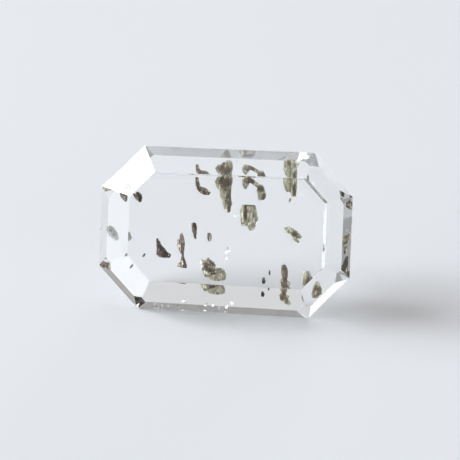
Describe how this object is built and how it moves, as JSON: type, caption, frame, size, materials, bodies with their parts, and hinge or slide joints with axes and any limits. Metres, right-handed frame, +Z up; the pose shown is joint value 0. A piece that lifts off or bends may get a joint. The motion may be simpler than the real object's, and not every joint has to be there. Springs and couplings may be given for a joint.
{
  "type": "pyrite in quartz stone",
  "caption": "Clear faceted rock-crystal tablet with cut corners, pyrite grains sealed inside, standing on its lower pavilion facet.",
  "frame": {"origin": "middle of the stone's box, at the surface it rests on", "axes": "+X along the stone's length, to the right of someone who looks at the table; +Z up; the table leans back and faces -Y and up"},
  "size_m": [0.0182, 0.0088, 0.0106],
  "materials": {
    "quartz": "clear polished rock crystal",
    "pyrite": "brassy brown-olive pyrite, sealed in quartz"
  },
  "bodies": {
    "root": {"quartz_front": "quartz", "quartz_back": "quartz", "pyrite_hook": "pyrite", "pyrite_long": "pyrite", "pyrite_branch": "pyrite", "pyrite_twin_column": "pyrite", "pyrite_splinter": "pyrite", "pyrite_block": "pyrite", "pyrite_corner": "pyrite", "pyrite_left_edge": "pyrite", "pyrite_wedge": "pyrite", "pyrite_dart": "pyrite", "pyrite_oval": "pyrite", "pyrite_hourglass": "pyrite", "pyrite_boot": "pyrite", "pyrite_low_speck": "pyrite", "pyrite_cluster": "pyrite", "pyrite_low_bead": "pyrite", "pyrite_high_bead": "pyrite", "pyrite_pillar": "pyrite", "pyrite_low_right": "pyrite"}
  },
  "joints": []
}
